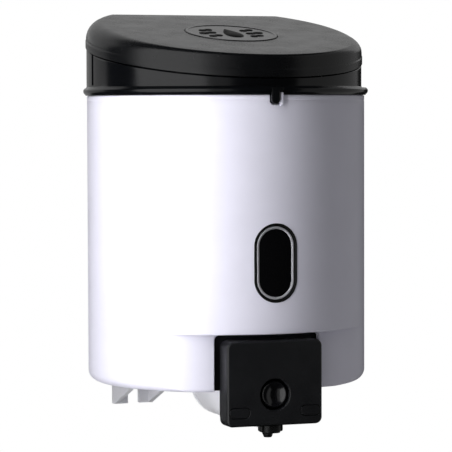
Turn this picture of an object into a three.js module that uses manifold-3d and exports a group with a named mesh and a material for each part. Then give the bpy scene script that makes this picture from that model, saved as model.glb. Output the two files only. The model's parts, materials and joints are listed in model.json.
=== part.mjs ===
// Wall mounted soap dispenser: a round white housing with a refill tank inside, a black
// collar and hinged lid on top, a push-button piston pump below, and a wall bracket.
//
// Millimetres. The origin is on the wall, on the back face of the bracket's plate.
// +Z is up, -Y faces the user and +X is to the user's right.

import * as THREE from 'three';
import { mergeVertices } from 'three/addons/utils/BufferGeometryUtils.js';
import Module from 'manifold-3d';

const wasm = await Module();
wasm.setup();

// ---------------------------------------------------------------- driving dimensions

const GAP = 0.3; // clearance between pieces that touch
const OVER = 1; // how far a cutting tool runs past the face that it cuts

// White housing
const AXIS_Y = -50; // centre line of the round housing
const BODY_R = 63;
const BODY_BACK = -3.5; // its flat back
const BODY_WALL = 2.6;
const BODY_ROUND = 6.5; // radius of the lower outside edge
const RIM_Z = 60; // top rim
const FLOOR_Z = -69; // underside

// Flattened recess in the lower front, and the opening for the pump cover
const STEP_Z = RIM_Z - 103.75; // top edge of the recess
const RECESS_ANGLE = THREE.MathUtils.degToRad(46); // where it leaves the round wall
const RECESS_R = 26; // radius of its two rounded sides
const RECESS_WALL = 2.4;
const OPENING_HALF = 24.2;

// Sight window
const WINDOW_Z = RIM_Z - 72.7;
const WINDOW_WIDTH = 19.5;
const WINDOW_HEIGHT = 34;

// Collar and lid, which share a seam that slopes down to the front
const SEAM_SLOPE = 0.1775; // rise of the seam for each mm towards the wall
const TOP_SLOPE = 0.205; // the same for the lid's top face
const COLLAR_Y = AXIS_Y + 2.09;
const COLLAR_R = 62.56;
const LID_R = 62.96;
const CAP_BACK = -0.5; // flat back of the collar and the lid
const SEAM = 17.75; // height of the seam above the rim, over the housing's centre line
const LID_TOP = 29.68; // height of the lid's top face above the rim, in the same place
const LID_ROUND = 8; // its upper edge at the sides and the back
const LID_ROUND_FRONT = 1.5;
const LID_SKIN = 2.5;
const RING_R = 64.83; // flange that covers the rim
const RING_HEIGHT = 3.5;
const THROAT_R = 57; // filling mouth

// Lid hinge
const HINGE_Y = -8.5;
const HINGE_Z = 90;
const HINGE_R = 8; // rounding of the lid's rear edge
const PIN_R = 1.5;
const PIN_HALF = 35.5;
const EAR_R = 5.3;
const EAR_STEM = 5.2;
const EAR_INNER = 22;
const EAR_OUTER = 30;

// Notch in the front of the rim, for the lid latch
const NOTCH_LEFT = -2.75;
const NOTCH_RIGHT = 3.6;
const NOTCH_DEPTH = 4.3;
const RIB_LEFT = 1.85; // white rib on the right side of the notch
const LATCH_HALF = 1.97;
const LATCH_X = -0.48;

// Tank
const TANK_R = 58;
const TANK_WALL = 1.8;
const TANK_BACK = -11.5;
const TANK_FLOOR = -38;
const SPOUT_Y = -60;

// Pump, on a horizontal axis
const PUMP_Z = RIM_Z - 130;
const BARREL_R = 16.2;
const BARREL_WALL = 1.8;
const BORE_R = 9.2;
const BARREL_FRONT = -96;
const BARREL_BACK = -49;
const COVER_HALF = 22.2;
const COVER_REAR_HALF = COVER_HALF - 2; // behind the step that hides the gap at its sides
const COVER_STEP = -102;
const COVER_FRONT = -111.5;
const COVER_TOP = RIM_Z - 106.4;
const COVER_BOTTOM = RIM_Z - 143.6;
const COVER_WALL = 2.5;
const PLATE_FRONT = -98.8; // front face of the chassis plate
const PLATE_BACK = -96.3;
const SPOUT_TIP_Y = -102.2;
const BUTTON_R = 5.75;
const BUTTON_HOLE_R = 6.85;
const BUTTON_FACE = COVER_FRONT + 0.8;
const STEM_R = 2.5;
const PISTON_FRONT = -84;
const PISTON_BACK = -76;
const PLUG_X = 16.4;
const PLUG_Z = RIM_Z - 137.5;

// Wall bracket
const PLATE_HALF = 39.2;
const PLATE_T = 3;
const PLATE_TOP = 50;
const FOOT_Z = RIM_Z - 144.6;
const FOOT_INNER = 20.1;
const SLOT_X = 29.4;
const SLOT_WIDTH = 5.7;

// ---------------------------------------------------------------- materials

function plastic(color, roughness) {
  return new THREE.MeshStandardMaterial({ color, roughness, metalness: 0 });
}

const white = plastic(0xeeeef4, 0.25);
const whitePump = plastic(0xf2f2f2, 0.35);
const black = plastic(0x1c1d1f, 0.4);
const blackMatte = plastic(0x232527, 0.6);
const blackGloss = plastic(0x141416, 0.15);
const rubber = plastic(0x101010, 0.8);
const silicone = plastic(0xd8d8d4, 0.5);
const smoked = plastic(0x0b0b0d, 0.08);
const translucent = plastic(0xe6e9ea, 0.3);
const steel = new THREE.MeshStandardMaterial({ color: 0xb8bbbd, roughness: 0.3, metalness: 1 });

// ---------------------------------------------------------------- solids

const X = new THREE.Vector3(1, 0, 0);
const Y = new THREE.Vector3(0, 1, 0);
const Z = new THREE.Vector3(0, 0, 1);

// A closed geometry as a solid that can be joined and cut.
function solid(geometry) {
  const bare = geometry.clone();
  bare.deleteAttribute('normal');
  bare.deleteAttribute('uv');
  const merged = mergeVertices(bare, 1e-4);
  return new wasm.Manifold(new wasm.Mesh({
    numProp: 3,
    vertProperties: merged.attributes.position.array,
    triVerts: new Uint32Array(merged.index.array),
  }));
}

// A solid as one named mesh.
function piece(name, body, material) {
  const { vertProperties, triVerts } = body.getMesh();
  const geometry = new THREE.BufferGeometry();
  geometry.setAttribute('position', new THREE.BufferAttribute(vertProperties, 3));
  geometry.setIndex(new THREE.BufferAttribute(triVerts, 1));
  geometry.computeVertexNormals();
  const mesh = new THREE.Mesh(geometry, material);
  mesh.name = name;
  return mesh;
}

function box(x0, x1, y0, y1, z0, z1) {
  const geometry = new THREE.BoxGeometry(x1 - x0, y1 - y0, z1 - z0);
  geometry.translate((x0 + x1) / 2, (y0 + y1) / 2, (z0 + z1) / 2);
  return solid(geometry);
}

// Cylinders along each axis, from one end to the other.
function rodX(radius, x0, x1, y, z, sides = 24) {
  const geometry = new THREE.CylinderGeometry(radius, radius, x1 - x0, sides);
  geometry.rotateZ(-Math.PI / 2);
  geometry.translate((x0 + x1) / 2, y, z);
  return solid(geometry);
}

function rodY(radius, y0, y1, x, z, sides = 24) {
  const geometry = new THREE.CylinderGeometry(radius, radius, y1 - y0, sides);
  geometry.translate(x, (y0 + y1) / 2, z);
  return solid(geometry);
}

function rodZ(radius, z0, z1, x, y, sides = 24) {
  const geometry = new THREE.CylinderGeometry(radius, radius, z1 - z0, sides);
  geometry.rotateX(Math.PI / 2);
  geometry.translate(x, y, (z0 + z1) / 2);
  return solid(geometry);
}

// A profile of [radius, y] points turned about the pump's axis.
function turned(profile, sides = 28) {
  const points = profile.map(([radius, y]) => new THREE.Vector2(radius, y));
  const geometry = new THREE.LatheGeometry(points, sides);
  geometry.translate(0, 0, PUMP_Z);
  return solid(geometry);
}

function polygon(points) {
  return new THREE.Shape(points.map(([u, v]) => new THREE.Vector2(u, v)));
}

function roundedRect(centreU, centreV, width, height, radius) {
  const u = width / 2 - radius;
  const v = height / 2 - radius;
  const shape = new THREE.Shape();
  [[1, 1], [-1, 1], [-1, -1], [1, -1]].forEach(([signU, signV], corner) => {
    const start = corner * Math.PI / 2;
    shape.absarc(centreU + signU * u, centreV + signV * v, radius, start, start + Math.PI / 2);
  });
  return shape;
}

function obround(centreU, centreV, width, height) {
  return roundedRect(centreU, centreV, width, height, Math.min(width, height) / 2);
}

// A shape in the XZ plane pushed along Y, from the back to the front.
function slabY(shape, back, front, curveSegments = 5) {
  const depth = back - front;
  const geometry = new THREE.ExtrudeGeometry(shape, { depth, curveSegments, bevelEnabled: false });
  geometry.applyMatrix4(new THREE.Matrix4().makeBasis(X, Z, Y.clone().negate()));
  geometry.translate(0, back, 0);
  return solid(geometry);
}

// A shape in the YZ plane pushed along X.
function slabX(shape, x0, x1, curveSegments = 5) {
  const depth = x1 - x0;
  const geometry = new THREE.ExtrudeGeometry(shape, { depth, curveSegments, bevelEnabled: false });
  geometry.applyMatrix4(new THREE.Matrix4().makeBasis(Y, Z, X));
  geometry.translate(x0, 0, 0);
  return solid(geometry);
}

// A shape in the XY plane pushed along Z.
function slabZ(shape, z0, z1, curveSegments = 5) {
  const depth = z1 - z0;
  const geometry = new THREE.ExtrudeGeometry(shape, { depth, curveSegments, bevelEnabled: false });
  geometry.translate(0, 0, z0);
  return solid(geometry);
}

// A body through a stack of rings, from the lowest up, each anticlockwise seen from above.
function loft(rings) {
  const count = rings[0].length;
  const positions = rings.flat().flatMap((point) => point.toArray());
  const index = [];
  for (let ring = 0; ring < rings.length - 1; ring += 1) {
    for (let i = 0; i < count; i += 1) {
      const a = ring * count + i;
      const b = ring * count + (i + 1) % count;
      index.push(a, b, b + count, a, b + count, a + count);
    }
  }
  const top = (rings.length - 1) * count;
  for (let i = 1; i < count - 1; i += 1) {
    index.push(0, i + 1, i, top, top + i, top + i + 1);
  }
  const geometry = new THREE.BufferGeometry();
  geometry.setAttribute('position', new THREE.Float32BufferAttribute(positions, 3));
  geometry.setIndex(index);
  return solid(geometry);
}

// A ring in plan: a circle with its back cut off flat, at the height that heightAt gives.
const RING_STEPS = 44;

function roundRing(radius, centreY, back, heightAt) {
  const corner = Math.asin((back - centreY) / radius);
  const start = Math.PI - corner;
  const sweep = Math.PI + 2 * corner;
  return Array.from({ length: RING_STEPS + 1 }, (_, i) => {
    const angle = start + sweep * i / RING_STEPS;
    const y = centreY + radius * Math.sin(angle);
    return new THREE.Vector3(radius * Math.cos(angle), y, heightAt(y));
  });
}

const level = (z) => () => z;
const seam = (height) => (y) => RIM_Z + height + SEAM_SLOPE * (y - AXIS_Y);
const lidTop = (y) => RIM_Z + LID_TOP + TOP_SLOPE * (y - AXIS_Y);

// A straight drum of that outline.
function drum(radius, centreY, back, low, high) {
  return loft([low, high].map((heightAt) => roundRing(radius, centreY, back, heightAt)));
}

// A coil spring along Y: round wire on a helix.
class Helix extends THREE.Curve {
  constructor(radius, start, end, turns, x, z) {
    super();
    Object.assign(this, { radius, start, end, turns, x, z });
  }

  getPoint(t, target = new THREE.Vector3()) {
    const angle = 2 * Math.PI * this.turns * t;
    const y = this.start + (this.end - this.start) * t;
    const across = this.radius * Math.cos(angle);
    const up = this.radius * Math.sin(angle);
    return target.set(this.x + across, y, this.z + up);
  }
}

function coil(radius, wire, start, end, turns, x, z) {
  const section = new THREE.Shape().absarc(0, 0, wire, 0, 2 * Math.PI);
  const extrudePath = new Helix(radius, start + wire, end - wire, turns, x, z);
  const steps = Math.round(turns * 10);
  return solid(new THREE.ExtrudeGeometry(section, { steps, extrudePath, curveSegments: 3 }));
}

// ---------------------------------------------------------------- housing

// Cutting tool for the flattened front: everything outside its floor, which runs square
// to the front between two rounded sides. With inset it lies that far inside the floor.
function recessTool(inset, z0, z1) {
  const reach = BODY_R - RECESS_R;
  const centreX = reach * Math.sin(RECESS_ANGLE);
  const centreY = AXIS_Y - reach * Math.cos(RECESS_ANGLE);
  const radius = RECESS_R - inset;
  const quarter = Math.PI / 2;
  const shape = new THREE.Shape();
  shape.absarc(centreX, centreY, radius, RECESS_ANGLE - quarter, -quarter, true);
  shape.absarc(-centreX, centreY, radius, -quarter, -quarter - RECESS_ANGLE, true);
  shape.lineTo(-2 * BODY_R, AXIS_Y - BODY_R);
  shape.lineTo(-2 * BODY_R, AXIS_Y - 2 * BODY_R);
  shape.lineTo(2 * BODY_R, AXIS_Y - 2 * BODY_R);
  shape.lineTo(2 * BODY_R, AXIS_Y - BODY_R);
  return slabZ(shape, z0, z1, 6);
}

function bodyShell() {
  const rounding = [0, 22.5, 45, 67.5, 90].map(THREE.MathUtils.degToRad);
  const rings = rounding.map((angle) => roundRing(
    BODY_R - BODY_ROUND * (1 - Math.sin(angle)),
    AXIS_Y,
    BODY_BACK,
    level(FLOOR_Z + BODY_ROUND * (1 - Math.cos(angle))),
  ));
  rings.push(roundRing(BODY_R, AXIS_Y, BODY_BACK, level(RIM_Z)));
  const cavity = drum(
    BODY_R - BODY_WALL,
    AXIS_Y,
    BODY_BACK - BODY_WALL,
    level(FLOOR_Z + BODY_WALL),
    level(RIM_Z + OVER),
  ).subtract(recessTool(RECESS_WALL, FLOOR_Z, STEP_Z + RECESS_WALL));
  const pumpOpening = box(-OPENING_HALF, OPENING_HALF, -106, -88, FLOOR_Z - OVER, STEP_Z)
    .add(box(-17, 17, -90, -40, FLOOR_Z - OVER, FLOOR_Z + BODY_WALL + OVER));
  const windowHole = slabY(obround(0, WINDOW_Z, WINDOW_WIDTH, WINDOW_HEIGHT), -100, -120);
  const notch = box(NOTCH_LEFT, NOTCH_RIGHT, -116, -108, RIM_Z - NOTCH_DEPTH, RIM_Z + OVER);
  const rib = box(RIB_LEFT, NOTCH_RIGHT - GAP, -114, -110.7, RIM_Z - NOTCH_DEPTH - 1, RIM_Z + 1.1)
    .add(box(RIB_LEFT, NOTCH_RIGHT + 1, -112.6, -110.7, RIM_Z - NOTCH_DEPTH - 1, RIM_Z - GAP));
  const hookWindows = [-1, 1].map((side) => box(
    side * 20 - 5.6,
    side * 20 + 5.6,
    -8,
    0,
    27.6,
    45,
  ));
  return loft(rings)
    .subtract(recessTool(0, FLOOR_Z - OVER, STEP_Z))
    .subtract(cavity)
    .subtract(pumpOpening)
    .subtract(windowHole)
    .subtract(notch)
    .add(rib)
    .subtract(hookWindows[0])
    .subtract(hookWindows[1]);
}

// A curved wall of the housing between two radii, used to cut the window's pieces.
function curvedWall(inner, outer) {
  const z0 = WINDOW_Z - WINDOW_HEIGHT;
  const z1 = WINDOW_Z + WINDOW_HEIGHT;
  return rodZ(outer, z0, z1, 0, AXIS_Y, 72).subtract(rodZ(inner, z0 - 1, z1 + 1, 0, AXIS_Y, 72));
}

function windowSlab(extra) {
  const outline = obround(0, WINDOW_Z, WINDOW_WIDTH + extra, WINDOW_HEIGHT + extra);
  return slabY(outline, -100, -120);
}

function sightWindow() {
  const plug = windowSlab(-2 * GAP).intersect(curvedWall(58.8, 62.3));
  return plug.add(windowSlab(6).intersect(curvedWall(58.4, 59.4)));
}

function windowGasket() {
  return windowSlab(5).subtract(windowSlab(0.6)).intersect(curvedWall(59.65, 60.1));
}

function wallBracket() {
  const neck = FLOOR_Z + 3;
  const outline = polygon([
    [-PLATE_HALF, FOOT_Z],
    [-FOOT_INNER, FOOT_Z],
    [-FOOT_INNER, neck],
    [FOOT_INNER, neck],
    [FOOT_INNER, FOOT_Z],
    [PLATE_HALF, FOOT_Z],
    [PLATE_HALF, PLATE_TOP],
    [-PLATE_HALF, PLATE_TOP],
  ]);
  const gusset = polygon([
    [-PLATE_T + 0.5, FOOT_Z],
    [-PLATE_T + 0.5, FLOOR_Z - 0.4],
    [-26, FLOOR_Z - 0.4],
    [-26, FLOOR_Z - 6.5],
    [-PLATE_T, FOOT_Z],
  ]);
  const hook = polygon([
    [-PLATE_T + 0.5, 28],
    [-9.2, 28],
    [-9.2, 38],
    [-6.5, 38],
    [-6.5, 31],
    [-PLATE_T + 0.5, 31],
  ]);
  let bracket = slabY(outline, 0, -PLATE_T);
  for (const side of [-1, 1]) {
    const footSlot = obround(side * SLOT_X, FOOT_Z, SLOT_WIDTH, 2 * 11);
    const keyhole = obround(side * SLOT_X, 38, 4.6, 13);
    const outer = side * (PLATE_HALF - 1.1);
    const inner = side * (FOOT_INNER + 1.1);
    bracket = bracket
      .subtract(slabY(footSlot, OVER, -PLATE_T - OVER))
      .subtract(slabY(keyhole, OVER, -PLATE_T - OVER))
      .subtract(rodY(4.6, -PLATE_T - OVER, OVER, side * SLOT_X, 33, 24))
      .add(slabX(gusset, outer - 1.1, outer + 1.1))
      .add(slabX(gusset, inner - 1.1, inner + 1.1))
      .add(slabX(hook, side * 20 - 5, side * 20 + 5));
  }
  return bracket;
}

// ---------------------------------------------------------------- tank

function reservoir() {
  const inside = TANK_R - TANK_WALL;
  const outer = loft([
    roundRing(TANK_R - 5, AXIS_Y, TANK_BACK - 5, level(TANK_FLOOR)),
    roundRing(TANK_R - 1.5, AXIS_Y, TANK_BACK - 1.5, level(TANK_FLOOR + 1.5)),
    roundRing(TANK_R, AXIS_Y, TANK_BACK, level(TANK_FLOOR + 5)),
    roundRing(TANK_R, AXIS_Y, TANK_BACK, level(RIM_Z - 1.4)),
  ]);
  const inner = loft([
    roundRing(inside - 5, AXIS_Y, TANK_BACK - TANK_WALL - 5, level(TANK_FLOOR + 2)),
    roundRing(inside - 1.5, AXIS_Y, TANK_BACK - TANK_WALL - 1.5, level(TANK_FLOOR + 3.5)),
    roundRing(inside, AXIS_Y, TANK_BACK - TANK_WALL, level(TANK_FLOOR + 7)),
    roundRing(inside, AXIS_Y, TANK_BACK - TANK_WALL, level(RIM_Z)),
  ]);
  const spout = rodZ(5.6, TANK_FLOOR - 12.2, TANK_FLOOR + 1, 0, SPOUT_Y);
  const outlet = rodZ(3.8, TANK_FLOOR - 14, TANK_FLOOR + 4, 0, SPOUT_Y);
  return outer.subtract(inner).add(spout).subtract(outlet);
}

function tankGasket() {
  const low = level(RIM_Z - 1.1);
  const high = level(RIM_Z - GAP);
  const hole = drum(56.4, AXIS_Y, TANK_BACK - 1.6, level(RIM_Z - 2), level(RIM_Z + 1));
  return drum(57.8, AXIS_Y, TANK_BACK - 0.2, low, high).subtract(hole);
}

// Rubber check valve on the tank's spout: soap opens its two lips downwards only.
function inletValve() {
  const top = TANK_FLOOR - 4.5;
  const sleeve = rodZ(7.9, top - 8.5, top, 0, SPOUT_Y)
    .subtract(rodZ(5.9, top - 9.5, top + 1, 0, SPOUT_Y));
  const lips = polygon([
    [SPOUT_Y - 7, top - 8.2],
    [SPOUT_Y - 1.2, top - 13],
    [SPOUT_Y + 1.2, top - 13],
    [SPOUT_Y + 7, top - 8.2],
  ]);
  const throat = polygon([
    [SPOUT_Y - 5.5, top - 8],
    [SPOUT_Y - 0.25, top - 14],
    [SPOUT_Y + 0.25, top - 14],
    [SPOUT_Y + 5.5, top - 8],
  ]);
  return sleeve.add(slabX(lips, -4, 4)).subtract(slabX(throat, -3, 3));
}

// ---------------------------------------------------------------- collar, lid and latch

function collar() {
  const flange = loft([[63.9, 0], [64.6, 0.9], [RING_R, 2.4], [64.2, RING_HEIGHT]].map(
    ([radius, rise]) => roundRing(radius, AXIS_Y, CAP_BACK, level(RIM_Z + rise)),
  ));
  const wall = drum(COLLAR_R, COLLAR_Y, CAP_BACK, level(RIM_Z + 1), seam(SEAM));
  const throat = drum(THROAT_R, AXIS_Y, -13.4, level(RIM_Z - OVER), level(RIM_Z + 10));
  const mouth = drum(60, COLLAR_Y, -9.9, level(RIM_Z + RING_HEIGHT), level(RIM_Z + 50));
  const skirt = drum(60.1, AXIS_Y, -6.5, level(RIM_Z - 8), level(RIM_Z + 0.5))
    .subtract(drum(58.6, AXIS_Y, -8, level(RIM_Z - 9), level(RIM_Z)));
  const trough = rodX(HINGE_R + 0.9, -70, 70, HINGE_Y, HINGE_Z, 40);
  const notch = box(NOTCH_LEFT, NOTCH_RIGHT, -116, -106, RIM_Z - 9, RIM_Z + RING_HEIGHT);
  const ear = (inner, outer) => rodX(EAR_R, inner, outer, HINGE_Y, HINGE_Z, 28).add(
    box(inner, outer, HINGE_Y - EAR_STEM / 2, HINGE_Y + EAR_STEM / 2, HINGE_Z - 10, HINGE_Z),
  );
  const springRest = box(-8, 8, -98, -96.4, RIM_Z + 0.2, RIM_Z + 6)
    .add(box(-8, -6.4, -107.5, -97, RIM_Z + 0.2, RIM_Z + 3))
    .add(box(6.4, 8, -107.5, -97, RIM_Z + 0.2, RIM_Z + 3));
  return flange
    .add(wall)
    .add(skirt)
    .subtract(throat)
    .subtract(mouth)
    .subtract(trough)
    .subtract(notch)
    .add(springRest)
    .add(ear(-EAR_OUTER, -EAR_INNER))
    .add(ear(EAR_INNER, EAR_OUTER))
    .subtract(rodX(PIN_R + GAP, -70, 70, HINGE_Y, HINGE_Z, 16));
}

// The lid's outside, or with a skin its inside: straight sides, a sloping top, an upper edge
// that is tight at the front and full at the sides, and a rear edge rounded about the hinge,
// so that the lid turns without touching the wall.
function lidForm(skin, low) {
  const steps = 4;
  const back = CAP_BACK - skin;
  const radius = LID_R - skin;
  const base = roundRing(radius, COLLAR_Y, back, seam(low));
  const rings = [base];
  for (let i = 0; i <= steps; i += 1) {
    const angle = i / steps * Math.PI / 2;
    rings.push(base.map(({ x, y }, point) => {
      const blend = THREE.MathUtils.smoothstep(y, COLLAR_Y - LID_R, COLLAR_Y);
      const edge = THREE.MathUtils.lerp(LID_ROUND_FRONT, LID_ROUND, blend);
      const rounding = Math.max(edge - skin, LID_ROUND_FRONT / 2);
      const scale = 1 - rounding * (1 - Math.cos(angle)) / radius;
      const onBack = point === 0 || point === base.length - 1;
      const insetY = onBack ? back : COLLAR_Y + (y - COLLAR_Y) * scale;
      const drop = skin + rounding * (1 - Math.sin(angle));
      return new THREE.Vector3(x * scale, insetY, lidTop(insetY) - drop);
    }));
  }
  const rearRadius = HINGE_R - skin;
  const tangentY = HINGE_Y - rearRadius * Math.sin(Math.atan(TOP_SLOPE));
  const rearEdge = box(-70, 70, tangentY, 2, HINGE_Z, HINGE_Z + 12)
    .subtract(rodX(rearRadius, -70, 70, HINGE_Y, HINGE_Z, 40));
  return loft(rings).subtract(rearEdge);
}

// Beside each of the collar's ears the lid has a knuckle towards the middle and a barrel that
// runs out to its side. Its rear wall is open at the ear, which stands there when the lid is
// open.
function lid() {
  const earGap = (side) => {
    const middle = side * (EAR_INNER + EAR_OUTER) / 2;
    const half = (EAR_OUTER - EAR_INNER) / 2 + GAP;
    return box(middle - half, middle + half, HINGE_Y, 2, HINGE_Z - 12, HINGE_Z + 4.4);
  };
  const catchLedge = box(-3.5, 3.5, -109.2, -106.2, 67.9, 69.3);
  const knuckle = (left, right) => rodX(HINGE_R - 0.1, left, right, HINGE_Y, HINGE_Z, 40);
  const inner = EAR_INNER - GAP;
  const outer = EAR_OUTER + GAP;
  const barrels = knuckle(-LID_R, -outer)
    .add(knuckle(outer, LID_R))
    .intersect(lidForm(LID_SKIN / 2, SEAM - 14));
  return lidForm(0, SEAM + 0.35)
    .subtract(lidForm(LID_SKIN, SEAM - 4))
    .add(barrels)
    .add(knuckle(-inner, 6 - inner))
    .add(knuckle(inner - 6, inner))
    .subtract(earGap(-1))
    .subtract(earGap(1))
    .subtract(rodX(PIN_R + GAP, -PIN_HALF - OVER, PIN_HALF + OVER, HINGE_Y, HINGE_Z, 16))
    .add(catchLedge)
    .subtract(badgeDisc(21.1, -0.9, 3));
}

// A disc on the lid's sloping top, between two heights above its face.
const BADGE_Y = AXIS_Y - 7.6;
const BADGE_R = 20.8;

function badgeDisc(radius, low, high) {
  const geometry = new THREE.CylinderGeometry(radius, radius, high - low, 40);
  geometry.translate(0, (low + high) / 2, 0);
  geometry.rotateX(Math.PI / 2 + Math.atan(TOP_SLOPE));
  geometry.translate(0, BADGE_Y, lidTop(BADGE_Y));
  return solid(geometry);
}

function hingePin() {
  return rodX(PIN_R, -PIN_HALF, PIN_HALF, HINGE_Y, HINGE_Z, 16);
}

// A slide whose front tab shows in the notch, over the white rib: pushed in, its hook frees
// the lid.
function lidLatch() {
  const left = LATCH_X - LATCH_HALF;
  const right = LATCH_X + LATCH_HALF;
  const tab = obround(LATCH_X, RIM_Z - 0.4, 2 * LATCH_HALF, 7);
  const hook = polygon([
    [-107.3, RIM_Z + 0.4],
    [-104.8, RIM_Z + 0.4],
    [-104.8, 71.6],
    [-105.9, 71.6],
    [-105.9, 67],
    [-107.3, 66.2],
  ]);
  return slabY(tab, -111.8, -114.6)
    .add(box(left, NOTCH_RIGHT - GAP, -114.6, -112, RIM_Z + 1.4, RIM_Z + 3.2))
    .add(box(left, right, -112.5, -105, RIM_Z + 0.4, RIM_Z + 2.6))
    .add(slabX(hook, left, right));
}

// ---------------------------------------------------------------- pump

// Black plate behind the cover: it carries the cover, the pump barrel and the nozzle.
function pumpChassis() {
  const wings = roundedRect(0, -53, 2 * 29, 26, 2);
  const lower = roundedRect(0, -70, 2 * COVER_REAR_HALF, 27.2, 4);
  const plate = slabY(wings, PLATE_BACK, PLATE_FRONT).add(slabY(lower, PLATE_BACK, PLATE_FRONT));
  const spigot = rodY(11.4, PLATE_BACK - 0.5, -92.6, 0, PUMP_Z);
  const guide = rodY(5, -101.6, PLATE_FRONT + 0.5, 0, PUMP_Z);
  const duct = slabY(roundedRect(0, -77, 7, 13, 2), PLATE_FRONT + 0.5, -105.4);
  const stemHole = rodY(STEM_R + GAP, -102, -92, 0, PUMP_Z);
  const channel = rodZ(1.6, -84, -71, 0, -101);
  let chassis = plate
    .add(spigot)
    .add(guide)
    .add(duct)
    .subtract(box(-10, 10, -106, -102, PUMP_Z - 6.6, PUMP_Z + 6.6))
    .subtract(stemHole)
    .subtract(rodY(5.4, -95, -92, 0, PUMP_Z))
    .subtract(channel);
  for (const side of [-1, 1]) {
    chassis = chassis
      .subtract(rodY(1.5, -100, -95, side * PLUG_X, PLUG_Z, 16))
      .subtract(rodY(2, -100, -95, side * 25, -53, 16));
  }
  return chassis;
}

function pumpCover() {
  const middle = (COVER_TOP + COVER_BOTTOM) / 2;
  const height = COVER_TOP - COVER_BOTTOM;
  const back = PLATE_FRONT - GAP;
  const outline = (half, inset, radius) => (
    roundedRect(0, middle, 2 * (half - inset), height - 2 * inset, radius)
  );
  const block = slabY(outline(COVER_HALF, 0, 3), COVER_STEP, COVER_FRONT + 0.8)
    .add(slabY(outline(COVER_HALF, 0.8, 2.4), COVER_STEP, COVER_FRONT))
    .add(slabY(outline(COVER_REAR_HALF, 0, 3), back, COVER_STEP - OVER));
  const inner = outline(COVER_REAR_HALF, COVER_WALL, 2);
  let cover = block
    .subtract(slabY(inner, back + OVER, COVER_FRONT + COVER_WALL))
    .add(rodY(BUTTON_HOLE_R + 1.4, COVER_FRONT + 1.5, -106, 0, PUMP_Z))
    .subtract(rodY(BUTTON_HOLE_R, COVER_FRONT - OVER, -104, 0, PUMP_Z, 32))
    .subtract(box(-3.8, 3.8, -105.7, back + OVER, COVER_BOTTOM - OVER, PUMP_Z - 8));
  for (const side of [-1, 1]) {
    const x = side * PLUG_X;
    cover = cover
      .add(rodY(3.3, COVER_FRONT + 2, back, x, PLUG_Z, 16))
      .add(box(x - 1, x + 1, COVER_FRONT + 2, back, COVER_BOTTOM + 1, PLUG_Z - 2))
      .subtract(slabY(obround(x, PLUG_Z, 9.7, 4.8), COVER_FRONT + 1.8, COVER_FRONT - OVER))
      .subtract(rodY(2.3, COVER_FRONT + 1, COVER_FRONT + 7, x, PLUG_Z, 16))
      .subtract(rodY(1.5, COVER_FRONT, back + OVER, x, PLUG_Z, 16));
  }
  return cover;
}

function screwPlug(side) {
  const outline = obround(side * PLUG_X, PLUG_Z, 9.7 - 2 * GAP, 4.8 - 2 * GAP);
  return slabY(outline, COVER_FRONT + 1.5, COVER_FRONT + 0.1);
}

function coverScrew(side) {
  const x = side * PLUG_X;
  return rodY(2, COVER_FRONT + 4.6, COVER_FRONT + 6.6, x, PLUG_Z, 16)
    .add(rodY(1.2, COVER_FRONT + 6, PLATE_BACK - 0.4, x, PLUG_Z, 16));
}

// Screws that hold the chassis to the housing's front wall, from inside.
function chassisScrew(side) {
  return rodY(3.4, PLATE_BACK + GAP, PLATE_BACK + 2.3, side * 25, -53, 20)
    .add(rodY(1.6, PLATE_FRONT + 0.2, PLATE_BACK + 1, side * 25, -53, 16));
}

// The bore's tube inside an outer tube, joined at the front and by the neck to the tank.
function pumpBarrel() {
  const tube = turned([
    [BORE_R, BARREL_FRONT + 4],
    [11.7, BARREL_FRONT + 4],
    [11.7, BARREL_FRONT],
    [BARREL_R, BARREL_FRONT],
    [BARREL_R, BARREL_BACK],
    [BARREL_R - BARREL_WALL, BARREL_BACK],
    [BARREL_R - BARREL_WALL, BARREL_FRONT + 7],
    [BORE_R + BARREL_WALL, BARREL_FRONT + 7],
    [BORE_R + BARREL_WALL, BARREL_BACK],
    [BORE_R, BARREL_BACK],
    [BORE_R, BARREL_FRONT + 4],
  ]);
  const neck = rodZ(10, PUMP_Z + 10, TANK_FLOOR - 4.2, 0, SPOUT_Y);
  const neckBore = rodZ(8.2, PUMP_Z + 13, TANK_FLOOR - 3, 0, SPOUT_Y);
  const port = rodZ(4, PUMP_Z + 6, PUMP_Z + 14, 0, SPOUT_Y);
  const bore = rodY(BORE_R, BARREL_FRONT + 4, BARREL_BACK + OVER, 0, PUMP_Z, 28);
  return tube.add(neck).subtract(bore).subtract(neckBore).subtract(port);
}

function barrelCap() {
  return turned([
    [0, BARREL_BACK - 2.5],
    [BORE_R - GAP, BARREL_BACK - 2.5],
    [BORE_R - GAP, BARREL_BACK + GAP],
    [BARREL_R, BARREL_BACK + GAP],
    [BARREL_R, BARREL_BACK + 3],
    [BARREL_R - 1, BARREL_BACK + 4],
    [0, BARREL_BACK + 4],
  ]).subtract(box(-1, 1, BARREL_BACK + 2.4, BARREL_BACK + 5, PUMP_Z - 8, PUMP_Z + 8));
}

// Button with a dished face, and the hollow stem that carries the piston.
function pushButton() {
  const dish = [0, 0.25, 0.5, 0.75, 1].map((t) => [
    (BUTTON_R - 0.6) * t,
    BUTTON_FACE + 1.2 * (1 - t * t),
  ]);
  const profile = [
    ...dish,
    [BUTTON_R, BUTTON_FACE + 0.4],
    [BUTTON_R, BUTTON_FACE + 2.6],
    [STEM_R, BUTTON_FACE + 2.6],
    [STEM_R, PISTON_BACK],
    [1.1, PISTON_BACK],
    [1.1, -100],
    [0, -100],
  ];
  return turned(profile);
}

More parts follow.
